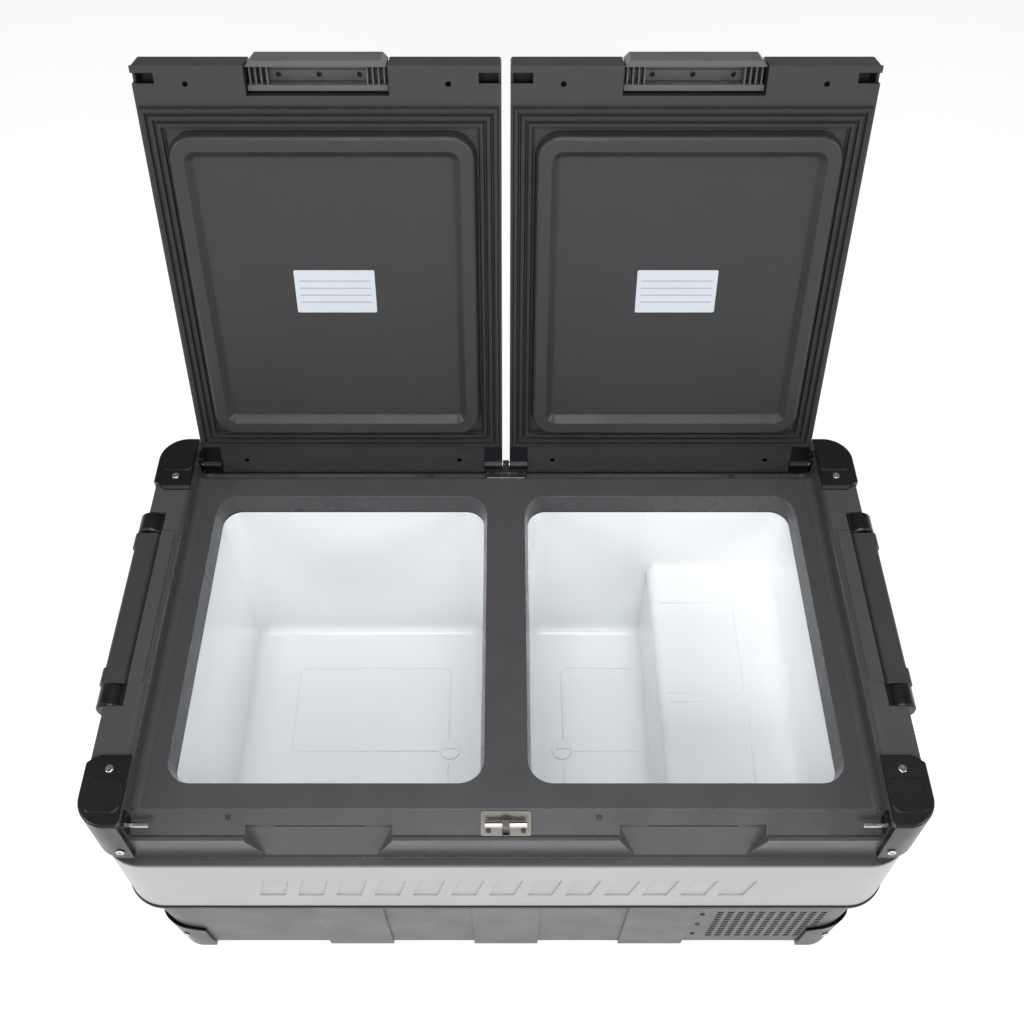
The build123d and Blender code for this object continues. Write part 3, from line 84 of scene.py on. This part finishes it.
def mouldedTexture(material, shader, grainMm, depthMm, edgeMm=0.0):
    # spark-eroded grain as bump, over softly rounded edges
    tree = material.node_tree
    place = addNode(material, "ShaderNodeTexCoord").outputs["Object"]
    grain = addNode(material, "ShaderNodeTexNoise", {"Vector": place}, Scale=grainScale(grainMm), Detail=2.0)
    bump = addNode(material, "ShaderNodeBump", {"Height": grain.outputs["Fac"]}, Strength=1.0,
                   Distance=depthMm * mm)
    if edgeMm:
        edge = addNode(material, "ShaderNodeBevel", Radius=edgeMm * mm, samples=4)
        tree.links.new(edge.outputs["Normal"], bump.inputs["Normal"])
    tree.links.new(bump.outputs["Normal"], shader.inputs["Normal"])
    return place


driftSpread = {"low": 0.35, "high": 0.65}  # the part of the noise that the drift is drawn from


def roughnessDrift(material, shader, place, patchMm, low, high):
    # slow patches of handling and wiping, as a small drift in roughness
    tree = material.node_tree
    patch = addNode(material, "ShaderNodeTexNoise", {"Vector": place}, Scale=grainScale(patchMm), Detail=3.0)
    drift = addNode(material, "ShaderNodeMapRange", {"Value": patch.outputs["Fac"]},
                    From_Min=driftSpread["low"], From_Max=driftSpread["high"], To_Min=low, To_Max=high)
    tree.links.new(drift.outputs["Result"], shader.inputs["Roughness"])


def colourDrift(material, shader, place, patchMm, firstHex, secondHex):
    # faint colour variation, as in moulded plastic that has been handled
    tree = material.node_tree
    patch = addNode(material, "ShaderNodeTexNoise", {"Vector": place}, Scale=grainScale(patchMm), Detail=2.0)
    mix = addNode(material, "ShaderNodeMix", {"Factor": patch.outputs["Fac"]}, data_type="RGBA")
    mix.inputs[6].default_value = linearColour(firstHex)
    mix.inputs[7].default_value = linearColour(secondHex)
    tree.links.new(mix.outputs[2], shader.inputs["Base Color"])


plastics = {
    # name: colour, second colour, roughness from, to, grain mm, depth mm, edge mm
    "frameAbs": ("#454547", "#49494b", 0.24, 0.33, 0.9, 0.02, 1.4),
    "guardNylon": ("#0a0a0b", "#0d0d0e", 0.30, 0.40, 0.8, 0.03, 1.6),
    "housingPolypropylene": ("#545456", "#58585a", 0.42, 0.52, 1.0, 0.03, 1.4),
    "lidAbs": ("#29292b", "#2d2d2f", 0.38, 0.48, 0.9, 0.025, 1.2),
    # black trim; on the ring under the band this black paints the shade that falls below the band
    "blackTrimAndPaintedShade": ("#1d1d1e", "#212122", 0.36, 0.46, 0.9, 0.02, 0.8),
    "latchAbs": ("#505052", "#555557", 0.28, 0.38, 0.8, 0.015, 0.9),
    "handlePolyamide": ("#353537", "#3a3a3c", 0.34, 0.44, 0.8, 0.02, 1.5),
    "tubePolyethylene": ("#a8a8aa", "#adadaf", 0.40, 0.50, 1.2, 0.02, 0.6),
}
plasticDrift = {"roughnessMm": 60.0, "colourMm": 45.0}
finishes = {}


def makePlastics():
    # injection-moulded plastics: fine eroded grain, softened edges, slight drift from handling
    for name, values in plastics.items():
        first, second, low, high, grainMm, depthMm, edgeMm = values
        material, shader = newMaterial(name, first, low, IOR=1.50)
        place = mouldedTexture(material, shader, grainMm, depthMm, edgeMm)
        roughnessDrift(material, shader, place, plasticDrift["roughnessMm"], low, high)
        colourDrift(material, shader, place, plasticDrift["colourMm"], first, second)
        finishes[name] = material


linerFinish = {"first": "#f3f6f8", "second": "#f5f8fa", "roughness": 0.16, "ior": 1.55, "waveMm": 55.0,
               "depthMm": 0.12, "edgeMm": 1.2, "colourMm": 120.0}


def makeLinerPlastic():
    # thermoformed high-impact polystyrene: white, glossy, with the slight waves of a drawn sheet
    look = linerFinish
    material, shader = newMaterial("thermoformedPolystyrene", look["first"], look["roughness"], IOR=look["ior"])
    place = mouldedTexture(material, shader, look["waveMm"], look["depthMm"], look["edgeMm"])
    colourDrift(material, shader, place, look["colourMm"], look["first"], look["second"])
    finishes["linerPolystyrene"] = material


bandFinish = {"first": "#a3a4a4", "second": "#a7a8a8", "roughness": 0.34, "ior": 1.50, "grainMm": 0.7,
              "depthMm": 0.012, "edgeMm": 1.2, "roughnessMm": 80.0, "low": 0.30, "high": 0.38, "colourMm": 70.0}


def makeBandPaint():
    # satin silver-grey paint on a moulded band: an even, slightly orange-peeled coat
    look = bandFinish
    material, shader = newMaterial("satinPaint", look["first"], look["roughness"], IOR=look["ior"])
    place = mouldedTexture(material, shader, look["grainMm"], look["depthMm"], look["edgeMm"])
    roughnessDrift(material, shader, place, look["roughnessMm"], look["low"], look["high"])
    colourDrift(material, shader, place, look["colourMm"], look["first"], look["second"])
    finishes["bandPaint"] = material


rubbers = {
    # name: colour, second colour, roughness from, to
    "gasketRubber": ("#1b1b1c", "#232324", 0.50, 0.62),
    "footRubber": ("#141414", "#1a1a1a", 0.60, 0.72),
}
rubberGrain = {"ior": 1.48, "grainMm": 0.8, "depthMm": 0.03, "edgeMm": 0.5, "roughnessMm": 25.0, "colourMm": 30.0}


def makeRubber():
    # EPDM: dull black, with a talc-like bloom that varies slowly
    look = rubberGrain
    for name, (first, second, low, high) in rubbers.items():
        material, shader = newMaterial(name, first, low, IOR=look["ior"])
        place = mouldedTexture(material, shader, look["grainMm"], look["depthMm"], look["edgeMm"])
        roughnessDrift(material, shader, place, look["roughnessMm"], low, high)
        colourDrift(material, shader, place, look["colourMm"], first, second)
        finishes[name] = material


metals = {
    # name: colour, roughness from, to, brush mm along, brush mm across
    "stainlessPlate": ("#7c7873", 0.28, 0.38, 8.0, 0.25),
    "gunmetalPlate": ("#35353a", 0.30, 0.40, 8.0, 0.25),
    "stainlessPin": ("#c9c7c3", 0.12, 0.20, 6.0, 0.3),
    "zincScrew": ("#d0d0d0", 0.14, 0.24, 1.5, 1.5),
    "blackenedScrew": ("#4a4a4c", 0.30, 0.42, 1.5, 1.5),
    "bareAluminium": ("#c6c8ca", 0.30, 0.40, 5.0, 0.4),
    "copperTube": ("#c47a52", 0.25, 0.35, 5.0, 0.6),
}
metalGrain = {"edge": 0.4 * mm, "depth": 0.01 * mm, "strength": 0.6, "low": 0.3, "high": 0.7}


def makeMetals():
    # bare metals: a long fine brush or drawing grain in the roughness and the bump
    for name, values in metals.items():
        hexValue, low, high, alongMm, acrossMm = values
        material, shader = newMaterial(name, hexValue, low, metallic=1.0)
        tree = material.node_tree
        place = addNode(material, "ShaderNodeTexCoord").outputs["Object"]
        brush = addNode(material, "ShaderNodeMapping", {"Vector": place})
        across = grainScale(acrossMm)
        brush.inputs["Scale"].default_value = (grainScale(alongMm), across, across)
        grain = addNode(material, "ShaderNodeTexNoise", {"Vector": brush.outputs["Vector"]}, Scale=1.0, Detail=3.0)
        spread = addNode(material, "ShaderNodeMapRange", {"Value": grain.outputs["Fac"]},
                         From_Min=metalGrain["low"], From_Max=metalGrain["high"], To_Min=low, To_Max=high)
        tree.links.new(spread.outputs["Result"], shader.inputs["Roughness"])
        edge = addNode(material, "ShaderNodeBevel", Radius=metalGrain["edge"], samples=4)
        bump = addNode(material, "ShaderNodeBump", {"Height": grain.outputs["Fac"], "Normal": edge.outputs["Normal"]},
                       Strength=metalGrain["strength"], Distance=metalGrain["depth"])
        tree.links.new(bump.outputs["Normal"], shader.inputs["Normal"])
        finishes[name] = material


smallFinishes = {
    # name: colour, roughness, IOR, grain mm, depth mm, edge mm
    "smokedAcrylic": ("#0b0c0f", 0.06, 1.49, 20.0, 0.01, 0.0),  # dark gloss acrylic over the display
    "blackEnamel": ("#121213", 0.28, 1.52, 1.2, 0.02, 1.0),  # stove enamel on the compressor shell
    "polyurethaneFoam": ("#d8c48c", 0.85, 1.40, 2.0, 0.3, 0.0),  # blown foam, left raw
    "circuitBoard": ("#1d5a36", 0.35, 1.50, 0.6, 0.01, 0.0),  # lacquered glass-fibre board
    "silverFilm": ("#c6cbd2", 0.38, 1.50, 1.5, 0.006, 0.2),  # matt polyester film of the blank plates
    "shadeSheetBlack": ("#0b0b0b", 0.9, 1.45, 0.6, 0.05, 0.0),  # black sheet that paints the shade seen through the grille's slots
    "printedInk": ("#6e6f71", 0.55, 1.50, 0.8, 0.005, 0.0),  # grey screen ink
}
filmDrift = {"roughnessMm": 18.0, "low": 0.34, "high": 0.44}


def makeSmallFinishes():
    # the finishes of small and hidden parts, and the film's slight smears
    for name, (hexValue, roughness, ior, grainMm, depthMm, edgeMm) in smallFinishes.items():
        material, shader = newMaterial(name, hexValue, roughness, IOR=ior)
        place = mouldedTexture(material, shader, grainMm, depthMm, edgeMm)
        if name == "silverFilm":
            roughnessDrift(material, shader, place, filmDrift["roughnessMm"], filmDrift["low"], filmDrift["high"])
        finishes[name] = material


makePlastics()
makeLinerPlastic()
makeBandPaint()
makeRubber()
makeMetals()
makeSmallFinishes()
print("materials made:", len(finishes))


# what each slot of the model is made of

slotFinishes = {
    "housing_grey": "housingPolypropylene",
    "band_grey": "bandPaint",
    # the trim ring under the band is black to paint the shade below the band; the bezel is black of its own
    "trim_black": "blackTrimAndPaintedShade",
    "frame_charcoal": "frameAbs",
    "guard_black": "guardNylon",
    "liner_white": "linerPolystyrene",
    "lid_charcoal": "lidAbs",
    "foam_yellow": "polyurethaneFoam",
    "gasket_rubber": "gasketRubber",
    "rubber_black": "footRubber",
    "pressed_steel": "stainlessPlate",
    "pin_steel": "stainlessPin",
    "latch_black": "latchAbs",
    "handle_grey": "handlePolyamide",
    "screw_steel": "zincScrew",
    "bezel_black": "blackTrimAndPaintedShade",
    "display_glass": "smokedAcrylic",
    "cooling_metal": "bareAluminium",
    "copper_tube": "copperTube",
    "compressor_black": "blackEnamel",
    "board_green": "circuitBoard",
    "tube_plastic": "tubePolyethylene",
}
nodeFinishes = {
    # nodes that differ from their slot
    "handle_hubs": "guardNylon",
    "hinge_covers_left": "gunmetalPlate",
    "hinge_covers_right": "gunmetalPlate",
    "corner_hinge_plates": "gunmetalPlate",
    "small_screws": "blackenedScrew",
}


def dressNodes():
    # every carried-over part gets the finish of its slot
    slots = {part["node"]: part["material_slot"] for part in frame["record"]["subparts"]}
    for name, piece in frame["nodes"].items():
        finish = finishes[nodeFinishes.get(name, slotFinishes[slots[name]])]
        for place in range(max(1, len(piece.material_slots))):
            if piece.material_slots:
                piece.material_slots[place].material = finish
            else:
                piece.data.materials.append(finish)


dressNodes()
print("nodes dressed")


# new pieces: helpers

weldDistance = 0.01 * mm


def finishPiece(name, bm, finish, body):
    # turns a bmesh into a piece that rides on a body
    bmesh.ops.remove_doubles(bm, verts=bm.verts, dist=weldDistance)
    bmesh.ops.recalc_face_normals(bm, faces=bm.faces)
    mesh = bpy.data.meshes.new(name)
    bm.to_mesh(mesh)
    bm.free()
    piece = bpy.data.objects.new(name, mesh)
    scene.collection.objects.link(piece)
    mesh.materials.append(finishes[finish])
    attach(piece, body)


def roundedOutline(bm, sizeX, sizeY, radius, segments=5):
    # a flat face with rounded corners about the origin
    bmesh.ops.create_grid(bm, x_segments=1, y_segments=1, size=0.5)
    bmesh.ops.scale(bm, verts=bm.verts, vec=(sizeX, sizeY, 1))
    bmesh.ops.bevel(bm, geom=bm.verts[:], offset=radius, offset_type="OFFSET", segments=segments,
                    profile=0.5, affect="VERTICES", material=-1)
    return next(iter(bm.faces))


def roundedPlate(sizeX, sizeY, thickness, radius, edge):
    # a plate with rounded corners and a softened upper edge, standing on its own underside
    bm = bmesh.new()
    face = roundedOutline(bm, sizeX, sizeY, radius)
    made = bmesh.ops.extrude_face_region(bm, geom=[face])
    raised = [v for v in made["geom"] if isinstance(v, bmesh.types.BMVert)]
    bmesh.ops.translate(bm, verts=raised, vec=(0, 0, thickness))
    top = [e for e in bm.edges if all(v in raised for v in e.verts)]
    bmesh.ops.bevel(bm, geom=top, offset=edge, offset_type="OFFSET", segments=2, profile=0.5,
                    affect="EDGES", material=-1)
    return bm


def roundedPath(corners, radius, steps=5):
    # the corners of a path, with the inner ones rounded by short chords
    points = [Vector(corners[0])]
    for before, at, after in zip(corners, corners[1:], corners[2:]):
        before, at, after = Vector(before), Vector(at), Vector(after)
        start = at + (before - at).normalized() * radius
        end = at + (after - at).normalized() * radius
        for step in range(steps + 1):
            part = step / steps
            points.append(start.lerp(at, part).lerp(at.lerp(end, part), part))
    points.append(Vector(corners[-1]))
    return points


def bead(name, paths, radius, finish, body):
    # thin round beads along paths, as one piece: a curve with a round section, then a mesh
    data = bpy.data.curves.new(name, "CURVE")
    data.dimensions = "3D"
    data.bevel_depth = radius
    data.bevel_resolution = 1
    data.use_fill_caps = True
    for points in paths:
        spline = data.splines.new("POLY")
        spline.points.add(len(points) - 1)
        for knot, point in zip(spline.points, points):
            knot.co = (*point, 1.0)
    carrier = bpy.data.objects.new(name + "Path", data)
    scene.collection.objects.link(carrier)
    bpy.context.view_layer.update()
    shaped = carrier.evaluated_get(bpy.context.evaluated_depsgraph_get())
    bm = bmesh.new()
    bm.from_mesh(shaped.to_mesh())
    shaped.to_mesh_clear()
    bpy.data.objects.remove(carrier)
    finishPiece(name, bm, finish, body)


# blank plates on the lids, where the real ones carry a rating label

# an open lid's own frame: across, up its length and out of its underside, from the hinge axis
lidFrame = Matrix(((1, 0, 0, 0), (0, 0.2419, -0.9703, 0.2463), (0, 0.9703, 0.2419, 0.4040), (0, 0, 0, 1)))
blankPlate = {"sizeX": 93 * mm, "sizeY": 54 * mm, "film": 0.3 * mm, "corner": 2 * mm, "edge": 0.08 * mm,
              "across": 0.1978, "along": 0.2510, "floor": 0.0070, "rule": 0.7 * mm, "ink": 0.12 * mm,
              "ruleGap": 9 * mm, "rules": 4, "margin": 5 * mm}


def makeBlankPlates():
    # self-adhesive film with plain ruled lines and nothing written on it
    look = blankPlate
    length = look["sizeX"] - 2 * look["margin"]
    for side, way in (("left", -1), ("right", 1)):
        onLid = lidFrame @ Matrix.Translation((way * look["across"], look["along"], look["floor"]))
        bm = roundedPlate(look["sizeX"], look["sizeY"], look["film"], look["corner"], look["edge"])
        bmesh.ops.transform(bm, matrix=onLid, verts=bm.verts)
        finishPiece(f"blankPlate_{side}", bm, "silverFilm", f"lid_{side}")
        ruled = bmesh.new()
        for count in range(look["rules"]):
            y = (count - (look["rules"] - 1) / 2) * look["ruleGap"]
            made = bmesh.ops.create_cube(ruled, size=1.0)
            bmesh.ops.scale(ruled, verts=made["verts"], vec=(length, look["rule"], look["ink"]))
            bmesh.ops.translate(ruled, verts=made["verts"], vec=(0, y, look["film"]))
        bmesh.ops.transform(ruled, matrix=onLid, verts=ruled.verts)
        finishPiece(f"ruledLines_{side}", ruled, "printedInk", f"lid_{side}")


# the pressed outlines on the compartment floors

floorOutlines = {
    # millimetres
    "radius": 1.0,
    "sunk": 0.2,
    "corner": 9.0,
    "levels": {"floor": 105.0, "shelf": 256.0},
    "paths": (
        # side, level, corners in X and Y
        ("left", "floor", ((-78, 6), (-78, 118), (-292, 118), (-292, -12), (-92, -12))),
        ("left", "floor", ((-78, -30), (-78, -140))),
        ("right", "floor", ((78, 6), (78, 118), (186, 118), (186, -12), (92, -12))),
        ("right", "floor", ((78, -30), (78, -140))),
        ("right", "shelf", ((204, 129), (301, 129), (301, -8), (204, -8))),
        ("right", "shelf", ((204, -20), (300, -20), (300, -140))),
    ),
}


def makeFloorOutlines():
    # thin beads pressed into the liners: a panel in each floor, a line past the plug, two panels on the step
    look = floorOutlines
    for side in ("left", "right"):
        beads = []
        for where, level, corners in look["paths"]:
            if where == side:
                height = look["levels"][level] - look["sunk"]
                path = roundedPath([(x, y, height) for x, y in corners], look["corner"])
                beads.append([point * mm for point in path])
        bead(f"floorOutline_{side}", beads, look["radius"] * mm, "linerPolystyrene", "cabinet")


# a black sheet behind the front grille that paints the shade seen through its slots, just inside the wall and leaning
# with it

ventShadeSheet = {"width": 0.140, "height": 0.126, "thickness": 0.0016, "radius": 0.004, "edge": 0.3 * mm,
              "place": (0.3215, -0.2394, 0.0955), "lean": 5.0}


def makeVentShadeSheet():
    look = ventShadeSheet
    bm = roundedPlate(look["width"], look["height"], look["thickness"], look["radius"], look["edge"])
    upright = Matrix.Rotation(math.radians(90 + look["lean"]), 4, "X")
    bmesh.ops.transform(bm, matrix=upright, verts=bm.verts)
    bmesh.ops.translate(bm, vec=look["place"], verts=bm.verts)
    finishPiece("ventShadeSheet", bm, "shadeSheetBlack", "cabinet")


makeBlankPlates()
makeFloorOutlines()
makeVentShadeSheet()
print("new pieces made")


# the camera, the floor and the light

cameraView = {"height": 1.5651, "back": 0.7459, "tilt": 38.18, "lens": 41.34, "sensor": 36.0, "shiftX": 0.0059}


def makeCamera():
    data = bpy.data.cameras.new("camera")
    data.lens = cameraView["lens"]
    data.sensor_width = cameraView["sensor"]
    data.shift_x = cameraView["shiftX"]
    camera = bpy.data.objects.new("camera", data)
    camera.location = (0, -cameraView["back"], cameraView["height"])
    camera.rotation_euler = (math.radians(cameraView["tilt"]), 0, 0)
    scene.collection.objects.link(camera)
    scene.camera = camera


floorLook = {"size": 30.0, "colour": "#b4b4b4", "light": "#ffffff", "roughness": 0.8, "glow": 0.74}


def makeFloor():
    bm = bmesh.new()
    bmesh.ops.create_grid(bm, x_segments=1, y_segments=1, size=floorLook["size"] / 2)
    mesh = bpy.data.meshes.new("floor")
    bm.to_mesh(mesh)
    bm.free()
    floor = bpy.data.objects.new("floor", mesh)
    scene.collection.objects.link(floor)
    # a pale sweep that is lit from below as well, so that it stays even
    material, shader = newMaterial("paleFloor", floorLook["colour"], floorLook["roughness"])
    shader.inputs["Emission Color"].default_value = linearColour(floorLook["light"])
    shader.inputs["Emission Strength"].default_value = floorLook["glow"]
    mesh.materials.append(material)


lights = {
    # name: place, aimed at, width, height, watts
    "overhead": ((0.0, -0.2, 3.0), (0, 0, 0.25), 1.6, 1.0, 30.0),
    "key": ((0.0, -2.6, 2.3), (0, 0, 0.3), 1.9, 0.8, 40.0),
    "front": ((0.0, -3.2, 1.0), (0, 0, 0.3), 2.6, 0.8, 10.0),
    "leftFill": ((-2.4, -1.0, 1.9), (0, 0, 0.3), 0.9, 0.9, 26.0),
    "rightFill": ((2.4, -1.0, 1.9), (0, 0, 0.3), 0.9, 0.9, 26.0),
}
worldLook = {"colour": "#ffffff", "strength": 0.18}


def makeLights():
    for name, (place, target, width, height, watts) in lights.items():
        data = bpy.data.lights.new(name, "AREA")
        data.shape = "RECTANGLE"
        data.size = width
        data.size_y = height
        data.energy = watts
        lamp = bpy.data.objects.new(name, data)
        lamp.location = place
        lamp.rotation_euler = (Vector(target) - Vector(place)).to_track_quat("-Z", "Y").to_euler()
        scene.collection.objects.link(lamp)
    world = bpy.data.worlds.new("studio")
    world.use_nodes = True
    background = world.node_tree.nodes["Background"]
    background.inputs["Color"].default_value = linearColour(worldLook["colour"])
    background.inputs["Strength"].default_value = worldLook["strength"]
    scene.world = world
    scene.view_settings.view_transform = "Standard"


makeCamera()
makeFloor()
makeLights()
print("camera, floor and lights set")
